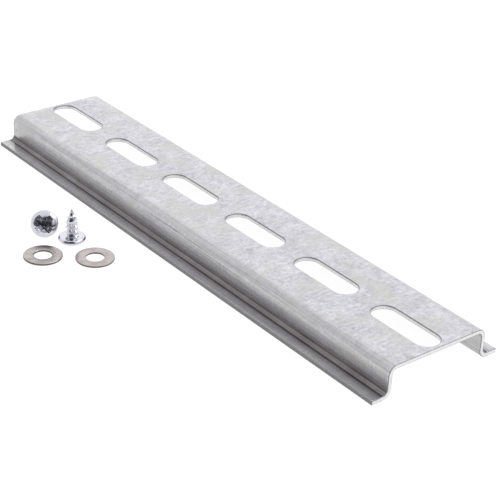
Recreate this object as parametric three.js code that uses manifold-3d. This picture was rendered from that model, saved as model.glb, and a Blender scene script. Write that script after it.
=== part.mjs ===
// A 35 mm top-hat mounting rail, with the two screws and two washers that fasten it to a panel.
// Millimetres, +Z up. The origin is the middle of the crown's outer face, +X runs along the rail.
// The rail lies on its two lips, crown up, and the loose hardware lies beside its near lip.

import * as THREE from 'three';
import { mergeVertices } from 'three/addons/utils/BufferGeometryUtils.js';
import Module from 'manifold-3d';

// The rail: the hat over its walls, and a lip out from each wall
const railLength = 145;
const hatWidth = 27;
const lipWidth = 4;
const railHeight = 7.5;
const sheetThickness = 1;
const bendRadius = 2.2;

// The slots along the crown
const slotLength = 18.3;
const slotWidth = 6.2;
const slotPitch = 25;
const leastEndMargin = 0.8;

// The pan-head tapping screws
const threadDiameter = 3.1;
const threadDepth = 0.45;
const threadPitch = 1.3;
const threadFlank = 0.28;
const screwLength = 6.8;
const pointLength = 3;
const tipDiameter = 0.2;
const headHeight = 1.9;
const headFullness = 2.2;

// The cross recess in each head, and the metal left between its floor and the bearing face
const recessSpan = 5.6;
const recessFloorSpan = 2;
const recessWidth = 1.4;
const recessCoreDiameter = 2.4;
const recessFloor = 0.3;

// The flat washers, whose bore clears the thread and whose rim bridges a slot
const washerThickness = 0.5;
const boreClearance = 1.2;
const slotOverlap = 1.4;
const headOverlap = 1.1;

// The loose pieces, placed from the rail's near lip and from each other
const rightWasherAlong = -7.5;
const lipToWasher = 8.2;
const washerToWasher = 2.9;
const washerPairHeading = 231;
const washerToScrew = 1.8;
const washerToScrewHeading = 181;
const screwToScrew = 1;
const screwPairHeading = 205;
const lyingScrewHeading = 50.6;
const lyingScrewRoll = 45;

// How finely round shapes are divided
const bendSteps = 4;
const slotEndSteps = 8;
const turnedSides = 48;
const threadColumns = 24;
const threadRowsPerTurn = 12;
const headProfileSteps = 14;

const wasm = await Module();
wasm.setup();

const quarterTurn = Math.PI / 2;
const cutMargin = 1;

// Sizes that follow from the ones above
const railWidth = hatWidth + 2 * lipWidth;
const washerBore = threadDiameter + boreClearance;
const washerDiameter = slotWidth + 2 * slotOverlap;
const headDiameter = washerBore + 2 * headOverlap;
const coreDiameter = threadDiameter - 2 * threadDepth;
const recessDepth = headHeight - recessFloor;
const tableHeight = -railHeight;

function toSolid(geometry) {
  const bare = geometry.clone();
  bare.deleteAttribute('normal');
  bare.deleteAttribute('uv');
  const merged = mergeVertices(bare, 1e-5);
  return new wasm.Manifold(new wasm.Mesh({
    numProp: 3,
    vertProperties: new Float32Array(merged.attributes.position.array),
    triVerts: new Uint32Array(merged.index.array),
  }));
}

function toGeometry(solid) {
  const mesh = solid.getMesh();
  const geometry = new THREE.BufferGeometry();
  geometry.setAttribute('position', new THREE.BufferAttribute(mesh.vertProperties, 3));
  geometry.setIndex(new THREE.BufferAttribute(mesh.triVerts, 1));
  geometry.computeVertexNormals();
  return geometry;
}

// One arc of the section, given in quarter turns. The shape draws the straight run up to it.
function bend(shape, across, up, radius, from, to) {
  shape.absarc(across, up, radius, from * quarterTurn, to * quarterTurn, to < from);
}

// The top-hat section, drawn in the YZ plane with the crown's outer face at height 0.
function hatSection() {
  const lipEdge = railWidth / 2;
  const insideRadius = bendRadius - sheetThickness;
  const crownBend = hatWidth / 2 - bendRadius;
  const lipBend = hatWidth / 2 + insideRadius;
  const lipBendHeight = bendRadius - railHeight;
  const section = new THREE.Shape();
  section.moveTo(lipEdge, -railHeight);
  section.lineTo(lipEdge, sheetThickness - railHeight);
  bend(section, lipBend, lipBendHeight, insideRadius, 3, 2);
  bend(section, crownBend, -bendRadius, bendRadius, 0, 1);
  bend(section, -crownBend, -bendRadius, bendRadius, 1, 2);
  bend(section, -lipBend, lipBendHeight, insideRadius, 4, 3);
  section.lineTo(-lipEdge, sheetThickness - railHeight);
  section.lineTo(-lipEdge, -railHeight);
  bend(section, -lipBend, lipBendHeight, bendRadius, 3, 4);
  bend(section, -crownBend, -bendRadius, insideRadius, 2, 1);
  bend(section, crownBend, -bendRadius, insideRadius, 1, 0);
  bend(section, lipBend, lipBendHeight, bendRadius, 2, 3);
  section.closePath();
  return section;
}

function slotCutter(along) {
  const endRadius = slotWidth / 2;
  const endCentre = slotLength / 2 - endRadius;
  const outline = new THREE.Shape();
  outline.absarc(endCentre, 0, endRadius, -quarterTurn, quarterTurn, false);
  outline.absarc(-endCentre, 0, endRadius, quarterTurn, 3 * quarterTurn, false);
  outline.closePath();
  const cutter = new THREE.ExtrudeGeometry(outline, {
    depth: sheetThickness + 2 * cutMargin,
    bevelEnabled: false,
    curveSegments: slotEndSteps,
  });
  cutter.translate(along, 0, -sheetThickness - cutMargin);
  return toSolid(cutter);
}

// Slots stand in pairs about mid-length, as many as leave metal at both ends.
function slotPlaces() {
  const room = railLength / 2 - leastEndMargin - slotLength / 2 + slotPitch / 2;
  const places = [];
  for (let pair = 0; pair < Math.floor(room / slotPitch); pair += 1) {
    const along = (pair + 0.5) * slotPitch;
    places.push(-along, along);
  }
  return places;
}

function railGeometry() {
  const strip = new THREE.ExtrudeGeometry(hatSection(), {
    depth: railLength,
    bevelEnabled: false,
    curveSegments: bendSteps,
  });
  strip.translate(0, 0, -railLength / 2);
  const alongX = new THREE.Matrix4().makeBasis(
    new THREE.Vector3(0, 1, 0),
    new THREE.Vector3(0, 0, 1),
    new THREE.Vector3(1, 0, 0),
  );
  strip.applyMatrix4(alongX);
  let rail = toSolid(strip);
  for (const along of slotPlaces()) {
    rail = rail.subtract(slotCutter(along));
  }
  return toGeometry(rail);
}

// Radius of the screw below its head, at a height and an angle round the axis.
function shankRadius(height, angle) {
  const fromTip = height + screwLength;
  const growth = Math.min(1, fromTip / pointLength);
  const core = (tipDiameter + (coreDiameter - tipDiameter) * growth) / 2;
  const turns = height / threadPitch - angle / (4 * quarterTurn);
  const offCrest = Math.abs(turns - Math.round(turns)) * threadPitch;
  const ridge = threadDepth * Math.max(0, 1 - offCrest / threadFlank);
  return core + ridge * growth;
}

// The shank and its thread, from the point up to a little way inside the head.
function shankSolid() {
  const length = screwLength + recessFloor;
  const rows = Math.round((length / threadPitch) * threadRowsPerTurn);
  const shank = new THREE.CylinderGeometry(1, 1, length, threadColumns, rows);
  shank.rotateX(quarterTurn);
  shank.translate(0, 0, recessFloor - length / 2);
  const place = shank.attributes.position;
  for (let index = 0; index < place.count; index += 1) {
    const x = place.getX(index);
    const y = place.getY(index);
    const radius = shankRadius(place.getZ(index), Math.atan2(y, x));
    place.setXY(index, x * radius, y * radius);
  }
  return toSolid(shank);
}

// Height of the pan head's outside above its bearing face, at a radius from the axis.
function headTopAt(radius) {
  return headHeight * (1 - (2 * radius / headDiameter) ** headFullness) ** (1 / headFullness);
}

// The pan head has its flat bearing face at height 0 and rounds over to its top.
function headSolid() {
  const profile = [new THREE.Vector2(0, 0)];
  for (let step = 0; step <= headProfileSteps; step += 1) {
    const angle = (step / headProfileSteps) * quarterTurn;
    const radius = (headDiameter / 2) * Math.cos(angle) ** (2 / headFullness);
    profile.push(new THREE.Vector2(radius, headTopAt(radius)));
  }
  const head = new THREE.LatheGeometry(profile, turnedSides);
  head.rotateX(quarterTurn);
  return toSolid(head);
}

// Width at the cutter's top of a recess feature that tapers from its span at the head's top to its floor.
function taperedTop(span) {
  return span + ((span - recessFloorSpan) / recessDepth) * cutMargin;
}

// One bar of the cross, tapering towards the recess floor.
function recessWing(turn) {
  const outline = new THREE.Shape();
  const topSpan = taperedTop(recessSpan);
  outline.moveTo(-recessFloorSpan / 2, -recessDepth);
  outline.lineTo(recessFloorSpan / 2, -recessDepth);
  outline.lineTo(topSpan / 2, cutMargin);
  outline.lineTo(-topSpan / 2, cutMargin);
  outline.closePath();
  const wing = new THREE.ExtrudeGeometry(outline, { depth: recessWidth, bevelEnabled: false });
  wing.translate(0, 0, -recessWidth / 2);
  wing.rotateX(quarterTurn);
  wing.rotateZ(turn);
  wing.translate(0, 0, headHeight);
  return toSolid(wing);
}

function recessCore() {
  const depth = recessDepth + cutMargin;
  const topRadius = taperedTop(recessCoreDiameter) / 2;
  const core = new THREE.CylinderGeometry(topRadius, recessFloorSpan / 2, depth, turnedSides);
  core.rotateX(quarterTurn);
  core.translate(0, 0, headHeight - recessDepth + depth / 2);
  return toSolid(core);
}

function screwGeometry() {
  const screw = headSolid()
    .add(shankSolid())
    .subtract(recessWing(0))
    .subtract(recessWing(quarterTurn))
    .subtract(recessCore());
  return toGeometry(screw);
}

function washerGeometry() {
  const profile = [
    new THREE.Vector2(washerBore / 2, 0),
    new THREE.Vector2(washerDiameter / 2, 0),
    new THREE.Vector2(washerDiameter / 2, washerThickness),
    new THREE.Vector2(washerBore / 2, washerThickness),
    new THREE.Vector2(washerBore / 2, 0),
  ];
  const washer = new THREE.LatheGeometry(profile, turnedSides);
  washer.rotateX(quarterTurn);
  return washer;
}

function finish(colour, roughness, metalness) {
  return new THREE.MeshStandardMaterial({ color: colour, roughness, metalness });
}

function piece(name, geometry, material) {
  const mesh = new THREE.Mesh(geometry, material);
  mesh.name = name;
  return mesh;
}

// The place at a distance from another, in the direction of a heading in degrees.
function beside(place, heading, distance) {
  const angle = THREE.MathUtils.degToRad(heading);
  return place.clone().add(new THREE.Vector2(Math.cos(angle), Math.sin(angle)).multiplyScalar(distance));
}

const rightWasherPlace = new THREE.Vector2(
  rightWasherAlong,
  -(railWidth + washerDiameter) / 2 - lipToWasher,
);
const leftWasherPlace = beside(rightWasherPlace, washerPairHeading, washerDiameter + washerToWasher);
const standingScrewPlace = beside(
  rightWasherPlace,
  washerToScrewHeading,
  (washerDiameter + headDiameter) / 2 + washerToScrew,
);
const lyingScrewPlace = beside(standingScrewPlace, screwPairHeading, headDiameter + screwToScrew);

const object = new THREE.Group();

object.add(piece('din_rail', railGeometry(), finish(0xc8cad2, 0.35, 0.9)));

function addWasher(name, place) {
  const washer = piece(name, washerGeometry(), finish(0xb8aea8, 0.4, 0.9));
  washer.position.set(place.x, place.y, tableHeight);
  object.add(washer);
}

addWasher('left_washer', leftWasherPlace);
addWasher('right_washer', rightWasherPlace);

// This screw stands point up on the rounded top of its head, on the ring round the recess.
const standingScrew = piece('standing_screw', screwGeometry(), finish(0xdedfe6, 0.15, 1));
standingScrew.position.set(
  standingScrewPlace.x,
  standingScrewPlace.y,
  tableHeight + headTopAt(recessCoreDiameter / 2),
);
standingScrew.rotation.x = 2 * quarterTurn;
object.add(standingScrew);

// This screw lies on the rim of its head and on whichever comes first, its point or its full thread.
const lyingScrew = piece('lying_screw', screwGeometry(), finish(0xdedfe6, 0.15, 1));
const slopeToPoint = (headDiameter - tipDiameter) / (2 * screwLength);
const slopeToThread = (headDiameter - threadDiameter) / (2 * (screwLength - pointLength));
const lyingTilt = Math.atan(Math.min(slopeToPoint, slopeToThread));
const lyingSpot = new THREE.Group();
lyingSpot.position.set(
  lyingScrewPlace.x,
  lyingScrewPlace.y,
  tableHeight + (headDiameter / 2) * Math.cos(lyingTilt),
);
lyingSpot.rotation.z = THREE.MathUtils.degToRad(lyingScrewHeading);
lyingScrew.rotation.set(quarterTurn - lyingTilt, 0, THREE.MathUtils.degToRad(lyingScrewRoll));
lyingSpot.add(lyingScrew);
object.add(lyingSpot);

export default object;
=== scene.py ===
"""A short length of slotted top-hat mounting rail, with its two pan-head screws and two flat washers.

Metres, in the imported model's frame: the crown's outer face is at height 0, +X runs along the rail,
and the loose hardware lies beside the rail's near lip.
"""

import math

import bmesh
import bpy
from bpy.props import (
    FloatProperty,
    FloatVectorProperty,
    IntProperty,
    PointerProperty,
)
from bpy.types import Operator, Panel, PropertyGroup
from mathutils import Matrix, Vector


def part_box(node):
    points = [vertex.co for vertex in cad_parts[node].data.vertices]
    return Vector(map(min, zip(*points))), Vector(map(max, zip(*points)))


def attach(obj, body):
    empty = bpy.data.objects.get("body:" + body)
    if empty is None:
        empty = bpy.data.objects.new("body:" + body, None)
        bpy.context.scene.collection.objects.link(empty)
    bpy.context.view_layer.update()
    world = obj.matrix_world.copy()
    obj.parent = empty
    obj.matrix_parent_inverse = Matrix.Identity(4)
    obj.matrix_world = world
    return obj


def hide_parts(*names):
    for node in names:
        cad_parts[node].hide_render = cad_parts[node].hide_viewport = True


bl_info = {
    "name": "Slotted mounting rail",
    "version": (1, 0, 0),
    "blender": (4, 5, 0),
    "location": "View3D > Sidebar > Rail",
    "description": "Builds a top-hat mounting rail with its loose screws and washers",
    "category": "Object",
}

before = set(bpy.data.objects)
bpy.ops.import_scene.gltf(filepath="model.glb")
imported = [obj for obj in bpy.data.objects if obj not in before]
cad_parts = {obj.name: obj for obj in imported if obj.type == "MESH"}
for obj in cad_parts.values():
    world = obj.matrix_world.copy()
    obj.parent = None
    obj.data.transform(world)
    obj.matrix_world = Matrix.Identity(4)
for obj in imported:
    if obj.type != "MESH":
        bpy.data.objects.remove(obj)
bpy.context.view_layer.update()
RAIL_LOW, RAIL_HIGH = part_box("din_rail")
WASHER_LOW, WASHER_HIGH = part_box("left_washer")
SCREW_LOW, SCREW_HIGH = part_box("standing_screw")

MM = 0.001
QUARTER_TURN = math.pi / 2
MERGE_DISTANCE = 1e-7
FLAT_FACE_WEIGHT = 80  # how strongly large faces hold the shading beside them flat, where 50 is neutral
WHITE = (1, 1, 1, 1)
MIX_FIRST, MIX_SECOND, MIX_RESULT = 6, 7, 2  # a colour mix node's own sockets


def length_prop(name, description, default):
    """A size in metres, shown with its unit."""
    return FloatProperty(
        name=name, description=description, default=default,
        min=0.0, precision=5, subtype="DISTANCE", unit="LENGTH",
    )


def colour_prop(name, description, default):
    """A linear colour of a finish."""
    return FloatVectorProperty(
        name=name, description=description, default=default,
        size=3, min=0.0, max=1.0, subtype="COLOR",
    )


def share_prop(name, description, default, high=1.0):
    """A number from 0 to high that has no unit."""
    return FloatProperty(
        name=name, description=description, default=default, min=0.0, max=high, subtype="FACTOR",
    )


def angle_prop(name, description, default):
    """An angle, given in degrees and kept in radians."""
    return FloatProperty(
        name=name, description=description, default=math.radians(default),
        subtype="ANGLE", unit="ROTATION",
    )


class RailSizes(PropertyGroup):
    """Sizes of the rail's section and of its slots."""

    length: length_prop("Length", "Length along X", RAIL_HIGH.x - RAIL_LOW.x)
    width: length_prop("Width", "Width over the lips", RAIL_HIGH.y - RAIL_LOW.y)
    height: length_prop("Height", "Height from the lips to the crown", RAIL_HIGH.z - RAIL_LOW.z)
    hat_width: length_prop("Hat width", "Width over the walls", 27 * MM)
    sheet: length_prop("Sheet", "Thickness of the sheet", 1 * MM)
    bend_radius: length_prop("Bend radius", "Outside radius of each bend", 2.2 * MM)
    slot_length: length_prop("Slot length", "Length of a slot over its round ends", 18.3 * MM)
    slot_width: length_prop("Slot width", "Width of a slot", 6.2 * MM)
    slot_pitch: length_prop("Slot pitch", "Distance from slot to slot", 25 * MM)
    slot_count: IntProperty(name="Slots", description="How many slots", default=6, min=1)
    edge_round: length_prop("Edge round", "Rounding of the sheared edges", 0.14 * MM)


class ScrewSizes(PropertyGroup):
    """Sizes of the pan-head tapping screws, and how the lying one is turned."""

    head_diameter: length_prop("Head diameter", "Diameter of the pan head", SCREW_HIGH.x - SCREW_LOW.x)
    head_height: length_prop("Head height", "Height of the pan head", 1.9 * MM)
    rim_round: length_prop("Rim round", "Reach of the head's rim beyond its flat bearing face", 0.4 * MM)
    rim_height: length_prop("Rim height", "Widest ring of the head over its bearing face", 0.5 * MM)
    head_fullness: FloatProperty(
        name="Head fullness", description="2 is an ellipse, more is squarer", default=2.0, min=1.5, max=6.0,
    )
    thread_diameter: length_prop("Thread diameter", "Diameter over the thread", 3.1 * MM)
    thread_depth: length_prop("Thread depth", "Height of the thread over its core", 0.45 * MM)
    thread_pitch: length_prop("Thread pitch", "Advance in one turn", 1.3 * MM)
    thread_flank: length_prop("Thread flank", "Half width of the thread at its root", 0.28 * MM)
    length: length_prop("Length", "Length under the head", 6.8 * MM)
    point_length: length_prop("Point length", "Length of the tapering point", 3 * MM)
    tip_diameter: length_prop("Tip diameter", "Diameter at the very tip", 0.2 * MM)
    recess_span: length_prop("Recess span", "Span of the cross recess at the head's top", 5.8 * MM)
    recess_floor_span: length_prop("Recess floor span", "Span of the recess at its floor", 2.2 * MM)
    recess_width: length_prop("Recess width", "Width of each bar of the cross", 1.5 * MM)
    recess_floor: length_prop("Recess floor", "Metal between the recess and the bearing face", 0.3 * MM)
    lying_heading: angle_prop("Lying heading", "Where the lying screw's head faces", 50.6)
    lying_tilt: angle_prop("Lying tilt", "How far the lying screw's axis tips up", 21.7)
    lying_roll: angle_prop("Lying roll", "Turn of the lying screw about its axis", 45)


class WasherSizes(PropertyGroup):
    """Sizes of the flat washers."""

    diameter: length_prop("Diameter", "Outside diameter", WASHER_HIGH.x - WASHER_LOW.x)
    bore: length_prop("Bore", "Diameter of the hole", 4.3 * MM)
    thickness: length_prop("Thickness", "Thickness of the washer", WASHER_HIGH.z - WASHER_LOW.z)
    rolled_edge: length_prop("Rolled edge", "Rounding on the side the punch entered", 0.2 * MM)
    sharp_edge: length_prop("Sharp edge", "Rounding on the other side", 0.05 * MM)


class RailFinishes(PropertyGroup):
    """Colours and gloss of the finishes."""

    zinc: colour_prop("Zinc", "Plating on the rail", (0.66, 0.66, 0.70))
    zinc_shade: colour_prop("Zinc shade", "Darker crystals in the plating", (0.37, 0.37, 0.395))
    zinc_stain: colour_prop("Zinc stain", "Faint warm patches on the plating", (0.495, 0.50, 0.465))
    # Painted shade in the inside bends and on the lips beside them, browner towards the rail's right end.
    bend_shade_colour: colour_prop("Worn zinc", "Roller marks along the inside bends", (0.085, 0.072, 0.07))
    bend_shade_brown: colour_prop(
        "Browned zinc", "The same marks near the rail's right end", (0.062, 0.046, 0.044),
    )
    zinc_roughness: share_prop("Zinc roughness", "Roughness of the plated sheet", 0.24)
    # Painted light: the sawn ends and punched walls are a lit copy of the cut steel.
    lit_cut_steel: colour_prop("Cut steel", "Bright sheared metal", (0.80, 0.80, 0.805))
    bend_tint: colour_prop(
        "Bend tint", "Warmer tone of the zinc where the sheet was bent", (0.52, 0.505, 0.49),
    )
    # Painted shade: the lips' slit edges are a shaded copy of the cut steel.
    shaded_slit_steel: colour_prop("Slit steel", "Dull slit edges of the lips", (0.23, 0.225, 0.225))
    # Painted shade: a dark line on every rounded edge of the rail.
    painted_edge_shade: colour_prop("Bare corner", "Dark line where a cut meets a face", (0.30, 0.296, 0.30))
    screw: colour_prop("Screw", "Bright plating on the screws", (0.66, 0.66, 0.71))
    # Painted shade inside the driver recess.
    recess: colour_prop("Recess", "Thin plating inside the driver recess", (0.13, 0.13, 0.16))
    screw_roughness: share_prop("Screw roughness", "Roughness of the screws", 0.14)
    washer: colour_prop("Washer", "Plating on the washers", (0.455, 0.42, 0.405))
    washer_edge: colour_prop("Washer edge", "Punched edges of the washers", (0.165, 0.145, 0.135))
    washer_roughness: share_prop("Washer roughness", "Roughness of the washers", 0.3)


class StageSetup(PropertyGroup):
    """Where the camera stands, and how bright the floor and the room are."""

    azimuth: angle_prop("Azimuth", "Camera's bearing about the object", 50.588)
    elevation: angle_prop("Elevation", "Camera's height above the horizon", 28.519)
    roll: angle_prop("Roll", "Camera's roll", -2.902)
    distance: length_prop("Distance", "Camera to what it looks at", 350.752 * MM)
    target: FloatVectorProperty(
        name="Target", description="The point the camera looks at", size=3,
        default=(8.73 * MM, 1.978 * MM, RAIL_LOW.z), subtype="TRANSLATION", unit="LENGTH",
    )
    lens: FloatProperty(
        name="Lens", description="Focal length on a 36 mm sensor", default=108.57, unit="CAMERA",
    )
    floor_radius: length_prop("Floor radius", "Radius of the round floor", 4.0)
    floor_glow: share_prop("Floor glow", "Light that the table gives by itself", 0.95, high=5.0)
    floor_white: share_prop("Floor white", "How much of the room's light the floor sends back", 0.10)


# ---------------------------------------------------------------- shared mesh and node helpers

def new_piece(name, mesh):
    """An object in the scene for a finished mesh."""
    piece = bpy.data.objects.new(name, mesh)
    bpy.context.scene.collection.objects.link(piece)
    return piece


def mesh_from(bm, name):
    """Merges, orients and frees a bmesh, and returns it as a mesh."""
    bmesh.ops.remove_doubles(bm, verts=bm.verts, dist=MERGE_DISTANCE)
    bmesh.ops.recalc_face_normals(bm, faces=bm.faces)
    mesh = bpy.data.meshes.new(name)
    bm.to_mesh(mesh)
    bm.free()
    return mesh


def apply_modifiers(piece):
    """Replaces a piece's mesh with what its modifiers make of it."""
    graph = bpy.context.evaluated_depsgraph_get()
    made = bpy.data.meshes.new_from_object(piece.evaluated_get(graph), depsgraph=graph)
    old = piece.data
    piece.modifiers.clear()
    piece.data = made
    made.name = piece.name
    bpy.data.meshes.remove(old)


def round_edges(piece, width, segments, angle, finish):
    """Rounds every edge sharper than the angle, in the finish of that number, and keeps flats flat."""
    bevel = piece.modifiers.new("round_edges", "BEVEL")
    bevel.width = width
    bevel.segments = segments
    bevel.limit_method = "ANGLE"
    bevel.angle_limit = angle
    bevel.material = finish
    weighted = piece.modifiers.new("flat_faces", "WEIGHTED_NORMAL")
    weighted.weight = FLAT_FACE_WEIGHT
    for polygon in piece.data.polygons:
        polygon.use_smooth = True
    apply_modifiers(piece)


def quad(bm, corners):
    """A face through corners, unless two of them meet."""
    kept = [v for k, v in enumerate(corners) if (v.co - corners[k - 1].co).length > MERGE_DISTANCE]
    if len(kept) >= 3:
        bm.faces.new(kept)


def skin(bm, first, second, closed=False):
    """Faces between two rows of vertices with matching places."""
    last = len(first) if closed else len(first) - 1
    for k in range(last):
        n = (k + 1) % len(first)
        quad(bm, [first[k], first[n], second[n], second[k]])


def lathe(bm, profile, sides):
    """Turns a closed profile of (radius, height) about Z."""
    rings = []
    for radius, height in profile:
        rings.append([
            bm.verts.new((
                radius * math.cos(2 * math.pi * k / sides),
                radius * math.sin(2 * math.pi * k / sides),
                height,
            ))
            for k in range(sides)
        ])
    for k, ring in enumerate(rings):
        skin(bm, ring, rings[(k + 1) % len(rings)], closed=True)


class Nodes:
    """A material's or a world's node tree, with short calls for making and joining nodes."""

    def __init__(self, owner):
        owner.use_nodes = True
        self.tree = owner.node_tree
        self.tree.nodes.clear()

    def add(self, kind, *links, **settings):
        """Makes a node. Settings name its properties; links are (input, value or socket)."""
        node = self.tree.nodes.new(kind)
        for key, value in settings.items():
            setattr(node, key, value)
        for key, value in links:
            self.put(node.inputs[key], value)
        return node

    def put(self, socket, value):
        """Joins a socket to an input, or sets its value."""
        if isinstance(value, bpy.types.NodeSocket):
            self.tree.links.new(value, socket)
        else:
            socket.default_value = value

    def place(self):
        """The piece's own coordinates, in millimetres."""
        spot = self.add("ShaderNodeTexCoord")
        scaled = self.add(
            "ShaderNodeVectorMath", (0, spot.outputs["Object"]), (3, 1 / MM), operation="SCALE",
        )
        return scaled.outputs[0]

    def noise(
        self, where, scale, stretch=(1, 1, 1), detail=3.0, roughness=0.5, turn=(0, 0, 0), shift=(0, 0, 0),
    ):
        """Noise whose grain is 1/scale millimetres, stretched along the turned axes."""
        mapped = self.add(
            "ShaderNodeMapping", (0, where), ("Location", shift), ("Rotation", turn), ("Scale", stretch),
        )
        made = self.add(
            "ShaderNodeTexNoise", (0, mapped.outputs[0]), ("Scale", scale),
            ("Detail", detail), ("Roughness", roughness),
        )
        return made.outputs[0]

    def remap(self, value, low, high, to_low, to_high):
        """Maps a value from one range to another, and stays inside it."""
        node = self.add(
            "ShaderNodeMapRange", (0, value), (1, low), (2, high), (3, to_low), (4, to_high), clamp=True,
        )
        return node.outputs[0]

    def smooth(self, value, low, high, to_low, to_high):
        """Maps a value like remap, with soft ends."""
        node = self.add(
            "ShaderNodeMapRange", (0, value), (1, low), (2, high), (3, to_low), (4, to_high),
            interpolation_type="SMOOTHSTEP",
        )
        return node.outputs[0]

    def math(self, operation, first, second):
        """One sum on two numbers."""
        return self.add("ShaderNodeMath", (0, first), (1, second), operation=operation).outputs[0]

    def mix(self, share, first, second):
        """A colour between two."""
        node = self.add("ShaderNodeMix", ("Factor", share), data_type="RGBA")
        self.put(node.inputs[MIX_FIRST], first)
        self.put(node.inputs[MIX_SECOND], second)
        return node.outputs[MIX_RESULT]

    def bump(self, height, strength, distance, under=None):
        """A bump from a height, on top of another if there is one."""
        links = [("Height", height), ("Strength", strength), ("Distance", distance)]
        if under is not None:
            links.append(("Normal", under))
        return self.add("ShaderNodeBump", *links).outputs[0]


def rgba(colour, gain=1.0):
    """A colour with full alpha."""
    return (colour[0] * gain, colour[1] * gain, colour[2] * gain, 1.0)


def metal(name, build):
    """A metallic material whose colour, roughness and normal come from build(nodes)."""
    material = bpy.data.materials.new(name)
    nodes = Nodes(material)
    colour, roughness, normal = build(nodes)
    shader = nodes.add(
        "ShaderNodeBsdfPrincipled", ("Base Color", colour), ("Metallic", 1.0),
        ("Roughness", roughness), ("Normal", normal),
    )
    nodes.add("ShaderNodeOutputMaterial", (0, shader.outputs[0]))
    return material


# ---------------------------------------------------------------- finishes

WALL_SHADE_DROP = 0.5  # how far the wall's line of painted shade lies below the end of its bend, in millimetres
BAND_SHIFT = 0.15  # how far the painted shade band between the painted shade lines lies outward, in millimetres
BEND_STARTS, BEND_FULL = 10.6, 12.6  # millimetres across the rail over which its tone turns warmer
BROWN_STARTS, BROWN_FULL = -10.0, 65.0  # millimetres along the rail over which its painted bend shade turns browner
TOP_SHADE_STARTS, TOP_SHADE_FULL = -0.34, -0.1  # heights, in millimetres, over which painted shade darkens the top of a punched wall


def zinc_sheet(finishes, sizes):
    """Bright zinc plating on rolled sheet: mottled grain, warm patches, and painted shade along the inside
    bends.
    """
    bend_foot = (sizes.hat_width / 2 / MM, (sizes.bend_radius - sizes.height) / MM - WALL_SHADE_DROP)
    lip_foot = (
        (sizes.hat_width / 2 + sizes.bend_radius - sizes.sheet) / MM,
        (sizes.sheet - sizes.height) / MM,
    )
    bend_middle = ((bend_foot[0] + lip_foot[0]) / 2 + BAND_SHIFT, (bend_foot[1] + lip_foot[1]) / 2)

    def build(nodes):
        place = nodes.place()
        axes = nodes.add("ShaderNodeSeparateXYZ", (0, place))
        across = nodes.math("ABSOLUTE", axes.outputs[1], 0.0)
        up = axes.outputs[2]

        def crease_shade(spot, reach_across, reach_up):
            """Painted shade mask: 1 on a line along the rail, fading out over the reach on both axes."""
            off_across = nodes.math("ABSOLUTE", nodes.math("SUBTRACT", across, spot[0]), 0.0)
            off_up = nodes.math("ABSOLUTE", nodes.math("SUBTRACT", up, spot[1]), 0.0)
            return nodes.math(
                "MULTIPLY",
                nodes.smooth(off_across, 0.0, reach_across, 1.0, 0.0),
                nodes.smooth(off_up, 0.0, reach_up, 1.0, 0.0),
            )

        strokes = nodes.noise(place, 1.0, stretch=(1.05, 0.5, 1.0), turn=(0, 0, 0.15))
        mottle = nodes.noise(place, 1.35, detail=4.0, roughness=0.55)
        patches = nodes.noise(place, 0.17, detail=2.5, shift=(11, 4, 2))
        clouds = nodes.noise(place, 0.33, stretch=(1, 0.7, 1), detail=2.0, shift=(1, 9, 5))
        rolled = nodes.noise(place, 1.0, stretch=(0.045, 2.6, 2.6), shift=(3, 7, 1))
        fade = nodes.noise(place, 0.12, stretch=(1, 0.1, 0.1), detail=2.0, shift=(5, 1, 8))
        grain = nodes.math(
            "ADD",
            nodes.remap(strokes, 0.3, 0.7, 0.0, 0.5),
            nodes.remap(mottle, 0.3, 0.7, 0.0, 0.5),
        )
        grain = nodes.math("ADD", grain, nodes.remap(clouds, 0.3, 0.7, -0.18, 0.18))
        colour = nodes.mix(grain, rgba(finishes.zinc), rgba(finishes.zinc_shade))
        warm = nodes.remap(patches, 0.47, 0.68, 0.0, 0.7)
        colour = nodes.mix(warm, colour, rgba(finishes.zinc_stain))
        on_bends = nodes.smooth(across, BEND_STARTS, BEND_FULL, 0.0, 1.0)
        colour = nodes.mix(nodes.math("MULTIPLY", on_bends, 0.5), colour, rgba(finishes.bend_tint))
        streaks = nodes.math("MULTIPLY", nodes.remap(rolled, 0.42, 0.62, 0.0, 0.32), on_bends)
        colour = nodes.mix(streaks, colour, rgba(finishes.zinc_shade, 0.55))
        # Painted shade: dark lines and bands in the inside bends and on the lips beside them, browner towards
        # the right end.
        lines = nodes.math("MAXIMUM", crease_shade(bend_foot, 0.9, 0.6), crease_shade(lip_foot, 0.5, 0.3))
        lines = nodes.math("MINIMUM", nodes.math("MULTIPLY", lines, 1.25), 1.0)
        shade_band = nodes.math("MULTIPLY", crease_shade(bend_middle, 1.9, 1.42), 0.88)
        lip_shade = nodes.math("MULTIPLY", crease_shade(lip_foot, 1.9, 0.3), 0.5)
        marks = nodes.math("MAXIMUM", nodes.math("MAXIMUM", lines, shade_band), lip_shade)
        marks = nodes.math("MULTIPLY", marks, nodes.remap(fade, 0.3, 0.7, 0.84, 1.0))
        browner_share = nodes.smooth(axes.outputs[0], BROWN_STARTS, BROWN_FULL, 0.0, 1.0)
        crease_shade_colour = nodes.mix(browner_share, rgba(finishes.bend_shade_colour), rgba(finishes.bend_shade_brown))
        colour = nodes.mix(marks, colour, crease_shade_colour)
        rough = finishes.zinc_roughness
        roughness = nodes.math(
            "ADD",
            nodes.remap(mottle, 0.3, 0.7, rough - 0.05, rough + 0.05),
            nodes.remap(patches, 0.35, 0.7, -0.02, 0.05),
        )
        normal = nodes.bump(rolled, 0.10, 0.03 * MM)
        normal = nodes.bump(strokes, 0.25, 0.04 * MM, normal)
        normal = nodes.bump(mottle, 0.2, 0.03 * MM, normal)
        return colour, roughness, normal

    return metal("zinc_sheet", build)


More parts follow.
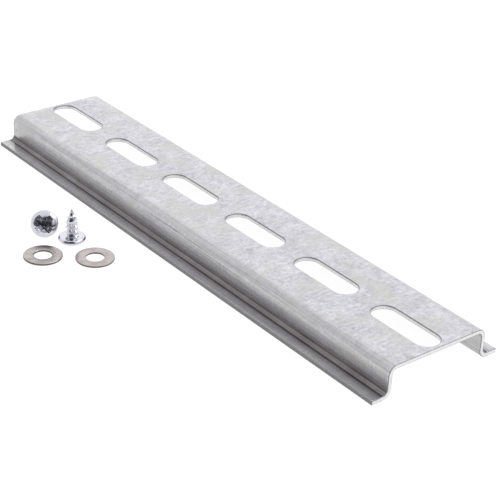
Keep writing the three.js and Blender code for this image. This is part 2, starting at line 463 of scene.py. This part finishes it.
def sheared_steel(name, bright, dark, roughness, top_shade=None):
    """A cut edge with drawn lines down it, and painted shade where the sheet rolled over at its outer face.
    """

    def build(nodes):
        place = nodes.place()
        drawn = nodes.noise(place, 1.0, stretch=(5.0, 5.0, 0.6))
        grain = nodes.noise(place, 6.0, detail=4.0, roughness=0.7)
        colour = nodes.mix(nodes.remap(drawn, 0.35, 0.65, 0.0, 0.7), bright, dark)
        if top_shade is not None:
            # Painted shade along the top of the wall, by the outer face.
            up = nodes.add("ShaderNodeSeparateXYZ", (0, place)).outputs[2]
            shaded_top = nodes.smooth(up, TOP_SHADE_STARTS, TOP_SHADE_FULL, 0.0, 1.0)
            colour = nodes.mix(shaded_top, colour, top_shade)
        rough = nodes.remap(grain, 0.3, 0.7, roughness - 0.08, roughness + 0.12)
        normal = nodes.bump(drawn, 0.25, 0.04 * MM)
        return colour, rough, nodes.bump(grain, 0.2, 0.03 * MM, normal)

    return metal(name, build)


def screw_plate(finishes):
    """Bright, nearly mirror-smooth plating with faint handling marks."""

    def build(nodes):
        place = nodes.place()
        cloud = nodes.noise(place, 0.9)
        marks = nodes.noise(
            place, 2.0, stretch=(0.4, 2.5, 1.0), detail=4.0, roughness=0.7, turn=(0.3, 0.2, 0.6),
        )
        colour = nodes.mix(
            nodes.remap(cloud, 0.35, 0.7, 0.0, 1.0), rgba(finishes.screw), rgba(finishes.screw, 0.9),
        )
        rough = finishes.screw_roughness
        roughness = nodes.remap(marks, 0.35, 0.7, rough - 0.05, rough + 0.1)
        return colour, roughness, nodes.bump(marks, 0.12, 0.02 * MM)

    return metal("screw_plate", build)


def recess_shade_plate(finishes):
    """Painted shade inside a pressed driver recess, dark and mottled."""

    def build(nodes):
        place = nodes.place()
        mottle = nodes.noise(place, 2.6, detail=4.0, roughness=0.7)
        lighter = nodes.remap(mottle, 0.44, 0.60, 0.0, 1.0)
        colour = nodes.mix(lighter, rgba(finishes.recess, 0.55), rgba(finishes.recess, 2.8))
        roughness = nodes.remap(mottle, 0.3, 0.7, 0.42, 0.25)
        return colour, roughness, nodes.bump(mottle, 0.3, 0.04 * MM)

    return metal("recess_shade_plate", build)


def washer_plate(name, finishes, gain):
    """Warm grey plating with a satin surface, a little uneven from tumbling."""

    def build(nodes):
        place = nodes.place()
        cloud = nodes.noise(place, 0.5)
        grain = nodes.noise(place, 7.0, roughness=0.6)
        scuffs = nodes.noise(place, 1.4, stretch=(0.5, 3.0, 1.0), detail=4.0, turn=(0, 0, 0.7))
        shaded = nodes.remap(cloud, 0.35, 0.65, 0.0, 1.0)
        warm = nodes.mix(shaded, rgba(finishes.washer, gain), rgba(finishes.washer, gain * 0.8))
        colour = nodes.mix(nodes.remap(scuffs, 0.55, 0.75, 0.0, 0.5), warm, rgba(finishes.washer, gain * 1.2))
        rough = finishes.washer_roughness
        roughness = nodes.remap(cloud, 0.3, 0.7, rough - 0.06, rough + 0.08)
        normal = nodes.bump(grain, 0.14, 0.03 * MM)
        return colour, roughness, nodes.bump(scuffs, 0.18, 0.03 * MM, normal)

    return metal(name, build)


# ---------------------------------------------------------------- the rail

SAWN, SLIT, PUNCHED, EDGE_SHADE = 1, 2, 3, 4  # places of the rail's finishes, after its zinc
BEND_SEGMENTS = 10
ARC_SEGMENTS = 12
STRAIGHT_SEGMENTS = 6
SUPPORT = 0.25 * MM  # strip beside each bend that keeps the flat beyond it flat
LIP_ROWS = (0.35, 0.7)  # shares of the lip's width, from its edge
WALL_ROWS = (0.0, 0.5, 1.0)  # shares of the wall's height
SLOT_COLLAR = 0.5 * MM  # ring of faces round each slot
EDGE_NEARNESS = 1e-6  # a face this close to an outer limit lies on it


def arc(centre, radius, start, stop, segments):
    """Points on an arc, from one angle to another in quarter turns."""
    points = []
    for k in range(segments + 1):
        angle = (start + (stop - start) * k / segments) * QUARTER_TURN
        points.append((centre[0] + radius * math.cos(angle), centre[1] + radius * math.sin(angle)))
    return points


def half_section(sizes, depth):
    """The section from the lip's edge to the crown, at a depth below the outer face, for the +Y side."""
    inside = sizes.bend_radius - sizes.sheet
    lip_height = sizes.sheet - sizes.height
    lip_bend = (sizes.hat_width / 2 + inside, sizes.bend_radius - sizes.height)
    crown_bend = (sizes.hat_width / 2 - sizes.bend_radius, -sizes.bend_radius)
    lip_edge = sizes.width / 2
    wall = sizes.hat_width / 2 - depth
    points = [(lip_edge, lip_height - depth)]
    for share in LIP_ROWS:
        points.append((lip_edge + (lip_bend[0] + SUPPORT - lip_edge) * share, lip_height - depth))
    points.append((lip_bend[0] + SUPPORT, lip_height - depth))
    points += arc(lip_bend, inside + depth, 3, 2, BEND_SEGMENTS)
    wall_low, wall_high = lip_bend[1] + SUPPORT, crown_bend[1] - SUPPORT
    for share in WALL_ROWS:
        points.append((wall, wall_low + (wall_high - wall_low) * share))
    points += arc(crown_bend, sizes.bend_radius - depth, 0, 1, BEND_SEGMENTS)
    return points


def cell_columns(low, high, middle, arc_start):
    """Places along X of the strips across a cell: beside its slot's round ends, and along its straights."""
    half = ARC_SEGMENTS // 2
    columns = [low + (middle - arc_start - low) * k / half for k in range(half)]
    columns += [
        middle - arc_start + 2 * arc_start * k / STRAIGHT_SEGMENTS for k in range(STRAIGHT_SEGMENTS + 1)
    ]
    columns += [middle + arc_start + (high - middle - arc_start) * (k + 1) / half for k in range(half)]
    return columns


def side_rows(half_width):
    """Places across the crown where one cell meets the next, from +Y to -Y."""
    half = ARC_SEGMENTS // 2
    rows = [half_width * (1 - k / half) for k in range(half + 1)]
    return rows + [-y for y in reversed(rows[:-1])]


def cell_outline(low, high, middle, arc_start, half_width):
    """Points round a cell of the crown, anticlockwise from its low corner at +Y."""
    columns = cell_columns(low, high, middle, arc_start)
    rows = side_rows(half_width)
    outline = [(x, half_width) for x in reversed(columns)]
    outline += [(low, y) for y in rows[1:-1]]
    outline += [(x, -half_width) for x in columns]
    outline += [(high, y) for y in reversed(rows[1:-1])]
    return outline


def slot_outline(middle, arc_start, radius):
    """Points round a slot that match the cell's outline one to one."""
    half = ARC_SEGMENTS // 2
    straight = [2 * arc_start * k / STRAIGHT_SEGMENTS - arc_start for k in range(STRAIGHT_SEGMENTS + 1)]

    def on_end(quarters):
        """A point on the slot's round end, by its angle in quarter turns from +X."""
        angle = quarters * QUARTER_TURN
        side = arc_start if math.cos(angle) > 0 else -arc_start
        return (middle + side + radius * math.cos(angle), radius * math.sin(angle))

    outline = [on_end(0.5 + 0.5 * k / half) for k in range(half)]
    outline += [(middle + x, radius) for x in reversed(straight)]
    outline += [on_end(1 + 0.5 * (k + 1) / half) for k in range(half)]
    outline += [on_end(1.5 + (k + 1) / ARC_SEGMENTS) for k in range(ARC_SEGMENTS - 1)]
    outline += [on_end(2.5 + 0.5 * k / half) for k in range(half)]
    outline += [(middle + x, -radius) for x in straight]
    outline += [on_end(3 + 0.5 * (k + 1) / half) for k in range(half)]
    outline += [on_end(3.5 + (k + 1) / ARC_SEGMENTS) for k in range(ARC_SEGMENTS - 1)]
    return outline


def rail_mesh(sizes):
    """The whole rail as one closed mesh of quads, with its cut faces marked by their finish."""
    bm = bmesh.new()
    end = sizes.length / 2
    radius = sizes.slot_width / 2
    arc_start = sizes.slot_length / 2 - radius
    half_width = sizes.hat_width / 2 - sizes.bend_radius
    first = -(sizes.slot_count - 1) / 2 * sizes.slot_pitch
    columns = []

    def ring(points, height):
        """New vertices at a height, one for each point."""
        return [bm.verts.new((x, y, height)) for x, y in points]

    for number in range(sizes.slot_count):
        middle = first + number * sizes.slot_pitch
        low = -end if number == 0 else middle - sizes.slot_pitch / 2
        high = end if number == sizes.slot_count - 1 else middle + sizes.slot_pitch / 2
        cell = cell_outline(low, high, middle, arc_start, half_width)
        inner = slot_outline(middle, arc_start, radius)
        collar = slot_outline(middle, arc_start, radius + SLOT_COLLAR)
        for height in (0.0, -sizes.sheet):
            skin(bm, ring(cell, height), ring(collar, height), closed=True)
            skin(bm, ring(collar, height), ring(inner, height), closed=True)
        skin(bm, ring(inner, 0.0), ring(inner, -sizes.sheet), closed=True)
        columns += cell_columns(low, high, middle, arc_start)[1 if columns else 0:]

    outer = half_section(sizes, 0.0)
    under = half_section(sizes, sizes.sheet)
    rows = side_rows(half_width)
    for side in (1, -1):
        for points in (outer, under):
            strips = [[bm.verts.new((x, side * y, z)) for x in columns] for y, z in points]
            for one, two in zip(strips, strips[1:]):
                skin(bm, one, two)
        edge = [
            [bm.verts.new((x, side * points[0][0], points[0][1])) for x in columns]
            for points in (outer, under)
        ]
        skin(bm, *edge)
        for x in (-end, end):
            face_rows = [
                [bm.verts.new((x, side * y, z)) for y, z in points] for points in (outer, under)
            ]
            skin(bm, *face_rows)
    for x in (-end, end):
        crown_rows = [[bm.verts.new((x, y, height)) for y in rows] for height in (0.0, -sizes.sheet)]
        skin(bm, *crown_rows)
    mesh = mesh_from(bm, "rail")
    lip_edge = sizes.width / 2
    for polygon in mesh.polygons:
        normal, centre = polygon.normal, polygon.center
        if abs(centre.y) > lip_edge - EDGE_NEARNESS and abs(normal.y) > 0.9:
            polygon.material_index = SLIT
        elif abs(normal.x) > 0.999 and abs(centre.x) > end - EDGE_NEARNESS:
            polygon.material_index = SAWN
        elif abs(normal.z) < 0.1 and abs(centre.y) < half_width and centre.z > -sizes.sheet:
            polygon.material_index = PUNCHED
    return mesh


class MOUNTRAIL_OT_make_rail(Operator):
    """Build the slotted rail in place of its plain node"""

    bl_idname = "mountrail.make_rail"
    bl_label = "Make rail"

    def execute(self, context):
        sizes = context.scene.mountrail_rail
        finishes = context.scene.mountrail_finishes
        rail = new_piece("rail", rail_mesh(sizes))
        # Lit and shaded copies of one cut steel: painted light on the sawn ends and punched walls, painted
        # shade on the slit edges.
        bright, slit_shade = finishes.lit_cut_steel, finishes.shaded_slit_steel
        for finish in (
            zinc_sheet(finishes, sizes),
            sheared_steel("sawn_steel", rgba(bright), rgba(bright, 0.8), 0.3),
            sheared_steel("shaded_slit_steel", rgba(slit_shade), rgba(slit_shade, 0.7), 0.45),
            # The punched walls carry painted shade along their rolled-over tops.
            sheared_steel("punched_steel", rgba(bright), rgba(bright, 0.8), 0.4, rgba(slit_shade, 0.6)),
            sheared_steel("painted_edge_shade", rgba(finishes.painted_edge_shade), rgba(finishes.painted_edge_shade, 0.6), 0.4),
        ):
            rail.data.materials.append(finish)
        # The rounded edges get the painted edge shade.
        round_edges(rail, sizes.edge_round, 2, math.radians(50), EDGE_SHADE)
        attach(rail, "rail")
        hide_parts("din_rail")
        return {"FINISHED"}


# ---------------------------------------------------------------- the screws

THREAD_COLUMNS = 48
FLANK_ROWS = (0.12, 0.5, 1.0, 1.25)  # rows of vertices beside the crest, as shares of the flank's width
HEAD_SIDES = 96
HEAD_STEPS = 26
BEARING_ROWS = (0.0, 0.5, 0.8)  # rings of the flat bearing face, as shares of its radius
# The rim's curve from the bearing face to the widest ring, as shares of its reach outward and of its height.
RIM_PROFILE = (
    (0.05, 0.0), (0.16, 0.02), (0.28, 0.08), (0.40, 0.18), (0.52, 0.32),
    (0.64, 0.47), (0.76, 0.63), (0.87, 0.79), (0.95, 0.90),
)
RECESS_LEVELS = (-0.5, 0.0, 0.5, 0.9, 1.0)  # shares of the recess's depth, the first clear of the head
BAR_TAPER = 0.28  # share of a bar's width lost from the top to the floor
INNER_CORNER = 0.42 * MM  # rounding where two bars meet
CORNER_TAPER = 0.35  # share of that rounding lost at the floor
CORNER_STEPS = 6
BAR_END_ROUND = 0.08 * MM  # how far a bar's corners stand back from its end
BAR_END_FLAT = 0.6  # share of a bar's width that its end keeps flat
FLOOR_INSET = 0.72  # share of the cross that its floor keeps, inside a sloping foot
BRIGHT_SKIN = 0.04 * MM  # metal this close under the dome is outside the recess, and stays bright
RECESS_REACH = 0.8  # share of the head's radius that the painted recess shade may reach
CREASE = math.radians(38)  # edges sharper than this stay sharp


def shank_radius(sizes, height, turns):
    """Radius under the head at a height, and at a turn about the axis."""
    growth = min(1.0, max(0.0, (height + sizes.length) / sizes.point_length))
    core = sizes.thread_diameter - 2 * sizes.thread_depth
    core = (sizes.tip_diameter + (core - sizes.tip_diameter) * growth) / 2
    along = height / sizes.thread_pitch - turns
    off_crest = abs(along - round(along)) * sizes.thread_pitch
    ridge = sizes.thread_depth * max(0.0, 1 - off_crest / sizes.thread_flank)
    return core + ridge * growth


def shank_mesh(sizes):
    """The shank, its thread and its point, with the mesh following the thread's helix."""
    bm = bmesh.new()
    top = sizes.recess_floor / 2
    foot = sizes.thread_flank / sizes.thread_pitch
    flank = [foot * share for share in FLANK_ROWS]
    phases = [0.0, *flank, 0.5, *(1 - row for row in reversed(flank))]
    turns_needed = math.ceil((sizes.length + top) / sizes.thread_pitch) + 2
    heights = [
        -sizes.length - sizes.thread_pitch + (turn + phase) * sizes.thread_pitch
        for turn in range(turns_needed)
        for phase in phases
    ]
    offset = heights[0] / sizes.thread_pitch
    heights = [h - (offset - math.floor(offset)) * sizes.thread_pitch for h in heights]
    columns = []
    for k in range(THREAD_COLUMNS + 1):
        turns = k / THREAD_COLUMNS
        angle = 2 * math.pi * turns
        column = []
        for height in heights:
            z = min(top, max(-sizes.length, height + turns * sizes.thread_pitch))
            radius = shank_radius(sizes, z, turns)
            column.append(bm.verts.new((radius * math.cos(angle), radius * math.sin(angle), z)))
        columns.append(column)
    for one, two in zip(columns, columns[1:]):
        skin(bm, one, two)
    for z, row in ((top, -1), (-sizes.length, 0)):
        ring = [column[row] for column in columns[:-1]]
        middle = bm.verts.new((0, 0, z))
        for k, vertex in enumerate(ring):
            quad(bm, [vertex, ring[(k + 1) % len(ring)], middle])
    bmesh.ops.remove_doubles(bm, verts=bm.verts, dist=MERGE_DISTANCE * 20)
    return mesh_from(bm, "shank")


def dome_height(sizes, radius):
    """Height of the head's dome over the bearing face, at a radius."""
    share = min(1.0, 2 * radius / sizes.head_diameter)
    dome = (1 - share ** sizes.head_fullness) ** (1 / sizes.head_fullness)
    return sizes.rim_height + (sizes.head_height - sizes.rim_height) * dome


def head_mesh(sizes):
    """The pan head: a flat bearing face, a rounded rim, and a dome."""
    bm = bmesh.new()
    half = sizes.head_diameter / 2
    flat = half - sizes.rim_round
    profile = [(flat * share, 0.0) for share in BEARING_ROWS]
    profile += [(flat + sizes.rim_round * out, sizes.rim_height * down) for out, down in RIM_PROFILE]
    for step in range(HEAD_STEPS + 1):
        angle = step / HEAD_STEPS * QUARTER_TURN
        radius = half * math.cos(angle) ** (2 / sizes.head_fullness) if step < HEAD_STEPS else 0.0
        profile.append((radius, dome_height(sizes, radius)))
    lathe(bm, profile, HEAD_SIDES)
    return mesh_from(bm, "head")


def recess_cutter(sizes):
    """The cross-shaped driver recess: four bars with rounded inner corners, tapering to the floor."""
    bm = bmesh.new()
    depth = sizes.head_height - sizes.recess_floor
    levels = []
    for share in RECESS_LEVELS:
        reach = (sizes.recess_span + (sizes.recess_floor_span - sizes.recess_span) * share) / 2
        wide = sizes.recess_width / 2 * (1 - BAR_TAPER * share)
        corner = INNER_CORNER * (1 - CORNER_TAPER * share)
        if share == 1.0:
            reach, wide = reach * FLOOR_INSET, wide * FLOOR_INSET
        end_start, end_half = reach - BAR_END_ROUND, wide * BAR_END_FLAT
        ring = []
        for quarter in range(4):
            turn = Matrix.Rotation(quarter * QUARTER_TURN, 3, "Z")
            points = [(end_start, -wide), (reach, -end_half), (reach, end_half), (end_start, wide)]
            for k in range(CORNER_STEPS + 1):
                angle = QUARTER_TURN * k / CORNER_STEPS
                points.append((
                    wide + corner * (1 - math.sin(angle)),
                    wide + corner * (1 - math.cos(angle)),
                ))
            for x, y in points:
                ring.append(bm.verts.new(turn @ Vector((x, y, sizes.head_height - depth * share))))
        levels.append(ring)
    for one, two in zip(levels, levels[1:]):
        skin(bm, one, two, closed=True)
    bm.faces.new(levels[0])
    bm.faces.new(reversed(levels[-1]))
    return mesh_from(bm, "recess")


def screw_mesh(sizes):
    """Head, shank and recess joined into one closed body."""
    screw = new_piece("screw_blank", head_mesh(sizes))
    tools = []
    for name, mesh, operation in (
        ("shank_blank", shank_mesh(sizes), "UNION"),
        ("recess_blank", recess_cutter(sizes), "DIFFERENCE"),
    ):
        tool = new_piece(name, mesh)
        tools.append(tool)
        joined = screw.modifiers.new(name, "BOOLEAN")
        joined.operation = operation
        joined.solver = "EXACT"
        joined.object = tool
    apply_modifiers(screw)
    for tool in tools:
        bpy.data.objects.remove(tool)
    mesh = screw.data
    bpy.data.objects.remove(screw)
    bm = bmesh.new()
    bm.from_mesh(mesh)
    bmesh.ops.remove_doubles(bm, verts=bm.verts, dist=MERGE_DISTANCE * 10)
    bm.to_mesh(mesh)
    bm.free()
    half = sizes.head_diameter / 2
    for polygon in mesh.polygons:
        polygon.use_smooth = True
        centre = polygon.center
        radius = min(half, math.hypot(centre.x, centre.y))
        # Faces inside the recess take the painted recess shade.
        in_recess_shade = sizes.recess_floor / 2 < centre.z < dome_height(sizes, radius) - BRIGHT_SKIN
        if in_recess_shade and radius < half * RECESS_REACH:
            polygon.material_index = 1
    mesh.set_sharp_from_angle(angle=CREASE)
    return mesh


def set_down(piece, turn, node):
    """Turns a piece's mesh and sets it on the bottom of the node's box, in the middle of it."""
    piece.data.transform(turn.to_4x4())
    places = [v.co for v in piece.data.vertices]
    own_low = Vector(min(p[k] for p in places) for k in range(3))
    own_high = Vector(max(p[k] for p in places) for k in range(3))
    low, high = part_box(node)
    shift = (low + high) / 2 - (own_low + own_high) / 2
    shift.z = low.z - own_low.z
    piece.location = shift
    bpy.context.view_layer.update()


class MOUNTRAIL_OT_make_screws(Operator):
    """Build the two pan-head screws, one standing on its head and one lying"""

    bl_idname = "mountrail.make_screws"
    bl_label = "Make screws"

    def execute(self, context):
        sizes = context.scene.mountrail_screws
        finish = screw_plate(context.scene.mountrail_finishes)
        recess = recess_shade_plate(context.scene.mountrail_finishes)
        standing = Matrix.Rotation(2 * QUARTER_TURN, 3, "X")
        lying = (
            Matrix.Rotation(sizes.lying_heading, 3, "Z")
            @ Matrix.Rotation(QUARTER_TURN - sizes.lying_tilt, 3, "X")
            @ Matrix.Rotation(sizes.lying_roll, 3, "Z")
        )
        for name, turn in (("standing_screw", standing), ("lying_screw", lying)):
            screw = new_piece(name + "_bright", screw_mesh(sizes))
            screw.data.materials.append(finish)
            screw.data.materials.append(recess)
            set_down(screw, turn, name)
            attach(screw, name + "_body")
            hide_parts(name)
        return {"FINISHED"}


# ---------------------------------------------------------------- the washers

WASHER_SIDES = 96
WASHER_EDGE_SEGMENTS = 5
# Each washer's node, whether its rolled side is up, its turn in radians, and how bright its plating is.
WASHERS = (("left_washer", True, 0.4, 1.0), ("right_washer", False, 2.1, 1.08))


def washer_mesh(sizes, rolled_up):
    """A punched washer: its edges are rolled on the side the punch entered, and sharp on the other."""
    bm = bmesh.new()
    high = sizes.thickness
    top = sizes.rolled_edge if rolled_up else sizes.sharp_edge
    base = sizes.sharp_edge if rolled_up else sizes.rolled_edge
    inner, outer = sizes.bore / 2, sizes.diameter / 2
    profile = []
    for centre, radius, start in (
        ((inner + base, base), base, 2),
        ((outer - base, base), base, 3),
        ((outer - top, high - top), top, 0),
        ((inner + top, high - top), top, 1),
    ):
        profile += arc(centre, radius, start, start + 1, WASHER_EDGE_SEGMENTS)
    lathe(bm, profile, WASHER_SIDES)
    mesh = mesh_from(bm, "washer")
    for polygon in mesh.polygons:
        polygon.use_smooth = True
        if abs(polygon.normal.z) < 0.5:
            polygon.material_index = 1
    return mesh


class MOUNTRAIL_OT_make_washers(Operator):
    """Build the two flat washers that lie beside the rail"""

    bl_idname = "mountrail.make_washers"
    bl_label = "Make washers"

    def execute(self, context):
        sizes = context.scene.mountrail_washers
        finishes = context.scene.mountrail_finishes
        edge = finishes.washer_edge
        punched = sheared_steel("washer_edge", rgba(edge), rgba(edge, 0.7), 0.4)
        for name, rolled_up, turn, gain in WASHERS:
            washer = new_piece(name + "_satin", washer_mesh(sizes, rolled_up))
            washer.data.materials.append(washer_plate(name + "_plate", finishes, gain))
            washer.data.materials.append(punched)
            weighted = washer.modifiers.new("flat_faces", "WEIGHTED_NORMAL")
            weighted.weight = FLAT_FACE_WEIGHT
            apply_modifiers(washer)
            set_down(washer, Matrix.Rotation(turn, 3, "Z"), name)
            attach(washer, name + "_body")
            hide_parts(name)
        return {"FINISHED"}


# ---------------------------------------------------------------- the stage

FLOOR_GAP = 0.02 * MM  # the table's top lies this far under the lips
FLOOR_SIDES = 96
ROOM_DARK = (0.03, 0.03, 0.035, 1)
ROOM_NEAR = (1.02, 1.02, 1.06, 1)
ROOM_BEYOND = (1.27, 1.26, 1.28, 1)
# Dark patches for the screws to mirror: the way to each, the cosines where it begins and is full, and its
# share. The rail and the washers mirror them too when seen from behind, so the fill light makes up for them.
DARK_PATCHES = (
    ((0.17, -0.90, 0.41), 0.90, 0.96, 0.9),
    ((0.74, -0.53, 0.42), 0.85, 0.95, 1.0),
)
FILL_LIT = ("rail", "left_washer_satin", "right_washer_satin")


def make_floor(setup):
    """A large round white table that glows a little, under the rail's lips."""
    bm = bmesh.new()
    bmesh.ops.create_circle(bm, cap_ends=True, segments=FLOOR_SIDES, radius=setup.floor_radius)
    bmesh.ops.translate(bm, verts=bm.verts, vec=(0, 0, RAIL_LOW.z - FLOOR_GAP))
    floor = new_piece("floor", mesh_from(bm, "floor"))
    material = bpy.data.materials.new("white_table")
    white = setup.floor_white
    nodes = Nodes(material)
    shader = nodes.add(
        "ShaderNodeBsdfPrincipled", ("Base Color", (white, white, white, 1)), ("Roughness", 0.9),
        ("Emission Color", WHITE), ("Emission Strength", setup.floor_glow),
        ("Specular IOR Level", 0.0),
    )
    nodes.add("ShaderNodeOutputMaterial", (0, shader.outputs[0]))
    floor.data.materials.append(material)


def make_room():
    """Soft light all round, brighter beyond the rail, with dark patches and a dark gap on the near side.

    Seen straight, the room is plain white: the patches and the gap are only mirrored, and give less light.
    """
    world = bpy.data.worlds.new("room")
    bpy.context.scene.world = world
    nodes = Nodes(world)
    way = nodes.add("ShaderNodeTexCoord").outputs["Generated"]

    def facing(direction):
        """How nearly a ray looks a given way, from -1 to 1."""
        aim = Vector(direction).normalized()
        product = nodes.add("ShaderNodeVectorMath", (0, way), (1, aim), operation="DOT_PRODUCT")
        return product.outputs["Value"]

    up = nodes.add("ShaderNodeSeparateXYZ", (0, way)).outputs[2]
    beyond = nodes.smooth(facing((-0.66, 0.68, 0.32)), 0.35, 0.98, 0.0, 1.0)
    colour = nodes.mix(beyond, ROOM_NEAR, ROOM_BEYOND)
    for direction, begins, full, share in DARK_PATCHES:
        colour = nodes.mix(nodes.smooth(facing(direction), begins, full, 0.0, share), colour, ROOM_DARK)
    gap = nodes.math(
        "MULTIPLY",
        nodes.smooth(up, 0.10, 0.36, 1.0, 0.0),
        nodes.smooth(facing((0.77, -0.63, 0.0)), 0.2, 0.7, 0.0, 1.0),
    )
    colour = nodes.mix(gap, colour, ROOM_DARK)
    seen = nodes.add("ShaderNodeLightPath").outputs["Is Camera Ray"]
    colour = nodes.mix(seen, colour, WHITE)
    room = nodes.add("ShaderNodeBackground", (0, colour), (1, 1.0))
    nodes.add("ShaderNodeOutputWorld", (0, room.outputs[0]))


def make_light(name, place, size, energy, colour, mirrored=True):
    """A soft square light that looks at the middle of the rail, and may be left out of reflections."""
    light = bpy.data.lights.new(name, "AREA")
    light.shape = "SQUARE"
    light.size = size
    light.energy = energy
    light.color = colour
    lamp = bpy.data.objects.new(name, light)
    bpy.context.scene.collection.objects.link(lamp)
    lamp.location = place
    lamp.visible_glossy = mirrored
    lamp.rotation_mode = "QUATERNION"
    lamp.rotation_quaternion = (-Vector(place)).to_track_quat("-Z", "Y")
    lamp.visible_camera = False
    return lamp


def light_only(lamp, pieces):
    """Lets a light fall on these pieces and on nothing else."""
    lit = bpy.data.collections.new(lamp.name + "_lit")
    for piece in pieces:
        lit.objects.link(piece)
    lamp.light_linking.receiver_collection = lit


def make_camera(setup):
    """A long lens that looks down along the rail from its near right end."""
    azimuth, elevation, roll = setup.azimuth, setup.elevation, setup.roll
    back = Vector((
        math.sin(azimuth) * math.cos(elevation),
        -math.cos(azimuth) * math.cos(elevation),
        math.sin(elevation),
    ))
    right = Vector((math.cos(azimuth), math.sin(azimuth), 0.0))
    up = back.cross(right)
    turned_right = right * math.cos(roll) - up * math.sin(roll)
    turned_up = right * math.sin(roll) + up * math.cos(roll)
    lens = bpy.data.cameras.new("camera")
    lens.lens = setup.lens
    lens.sensor_width = 36.0
    lens.clip_start = 0.01
    lens.clip_end = 50.0
    camera = bpy.data.objects.new("camera", lens)
    bpy.context.scene.collection.objects.link(camera)
    turn = Matrix((turned_right, turned_up, back)).transposed()
    camera.matrix_world = Matrix.Translation(Vector(setup.target) + back * setup.distance) @ turn.to_4x4()
    bpy.context.scene.camera = camera


class MOUNTRAIL_OT_make_stage(Operator):
    """Build the camera, the white table and the soft lights, once the pieces that they light are made"""

    bl_idname = "mountrail.make_stage"
    bl_label = "Make stage"

    def execute(self, context):
        setup = context.scene.mountrail_stage
        context.scene.view_settings.view_transform = "Standard"
        make_camera(setup)
        make_floor(setup)
        make_room()
        make_light("key_light", (0.35, 0.45, 0.7), 0.5, 3.0, (1.0, 1.0, 1.0))
        make_light("front_light", (0.55, -0.35, 0.45), 0.3, 1.2, (1.0, 0.99, 1.0), mirrored=False)
        fill = make_light("fill_light", (0.77, -0.60, 0.36), 1.5, 7.0, (1.0, 1.0, 1.03))
        light_only(fill, [bpy.data.objects[name] for name in FILL_LIT])
        return {"FINISHED"}


# ---------------------------------------------------------------- the add-on

class MOUNTRAIL_PT_sidebar(Panel):
    """Sizes, finishes and build buttons in the sidebar"""

    bl_idname = "MOUNTRAIL_PT_sidebar"
    bl_label = "Slotted mounting rail"
    bl_space_type = "VIEW_3D"
    bl_region_type = "UI"
    bl_category = "Rail"

    def draw(self, context):
        """Shows each group's settings above its button."""
        for title, group, operator in PANEL_ROWS:
            box = self.layout.box()
            box.label(text=title)
            settings = getattr(context.scene, group)
            for name in settings.__annotations__:
                box.prop(settings, name)
            if operator:
                box.operator(operator)


PANEL_ROWS = (
    ("Rail", "mountrail_rail", "mountrail.make_rail"),
    ("Screws", "mountrail_screws", "mountrail.make_screws"),
    ("Washers", "mountrail_washers", "mountrail.make_washers"),
    ("Finishes", "mountrail_finishes", None),
    ("Stage", "mountrail_stage", "mountrail.make_stage"),
)
GROUPS = {
    "mountrail_rail": RailSizes,
    "mountrail_screws": ScrewSizes,
    "mountrail_washers": WasherSizes,
    "mountrail_finishes": RailFinishes,
    "mountrail_stage": StageSetup,
}
OTHER_CLASSES = (
    MOUNTRAIL_OT_make_rail,
    MOUNTRAIL_OT_make_screws,
    MOUNTRAIL_OT_make_washers,
    MOUNTRAIL_OT_make_stage,
    MOUNTRAIL_PT_sidebar,
)


def register():
    """Adds the settings, the operators and the panel."""
    for name, group in GROUPS.items():
        bpy.utils.register_class(group)
        setattr(bpy.types.Scene, name, PointerProperty(type=group))
    for kind in OTHER_CLASSES:
        bpy.utils.register_class(kind)


def unregister():
    """Takes them away again, in the opposite order."""
    for kind in reversed(OTHER_CLASSES):
        bpy.utils.unregister_class(kind)
    for name, group in GROUPS.items():
        delattr(bpy.types.Scene, name)
        bpy.utils.unregister_class(group)


def main():
    """Builds every piece and then the stage."""
    register()
    bpy.ops.mountrail.make_rail()
    bpy.ops.mountrail.make_screws()
    bpy.ops.mountrail.make_washers()
    bpy.ops.mountrail.make_stage()


if __name__ == "__main__":
    main()
